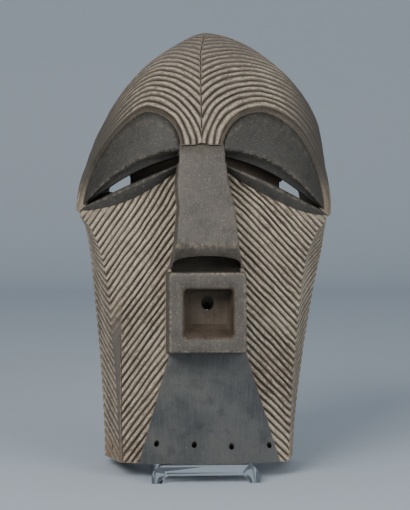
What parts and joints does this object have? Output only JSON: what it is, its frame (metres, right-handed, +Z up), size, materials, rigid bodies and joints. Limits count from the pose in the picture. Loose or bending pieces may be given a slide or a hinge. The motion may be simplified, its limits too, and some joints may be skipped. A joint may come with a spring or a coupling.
{
  "type": "carved face mask on a clear stand",
  "caption": "Hollow carved wooden face mask with striated planes, slit eyes, wedge nose and square mouth, leaning on a clear stand.",
  "frame": {"origin": "on the table under the middle of the object's box", "axes": "+Z up, the face looks along -Y, +X to the right as the viewer faces the mask"},
  "size_m": [0.2274, 0.1778, 0.3854],
  "materials": {
    "mask": "dark stained carved wood, worn pale along the crests of the grooves",
    "stand": "clear polished plastic"
  },
  "bodies": {
    "root": {"mask": "mask", "stand": "stand"}
  },
  "joints": []
}
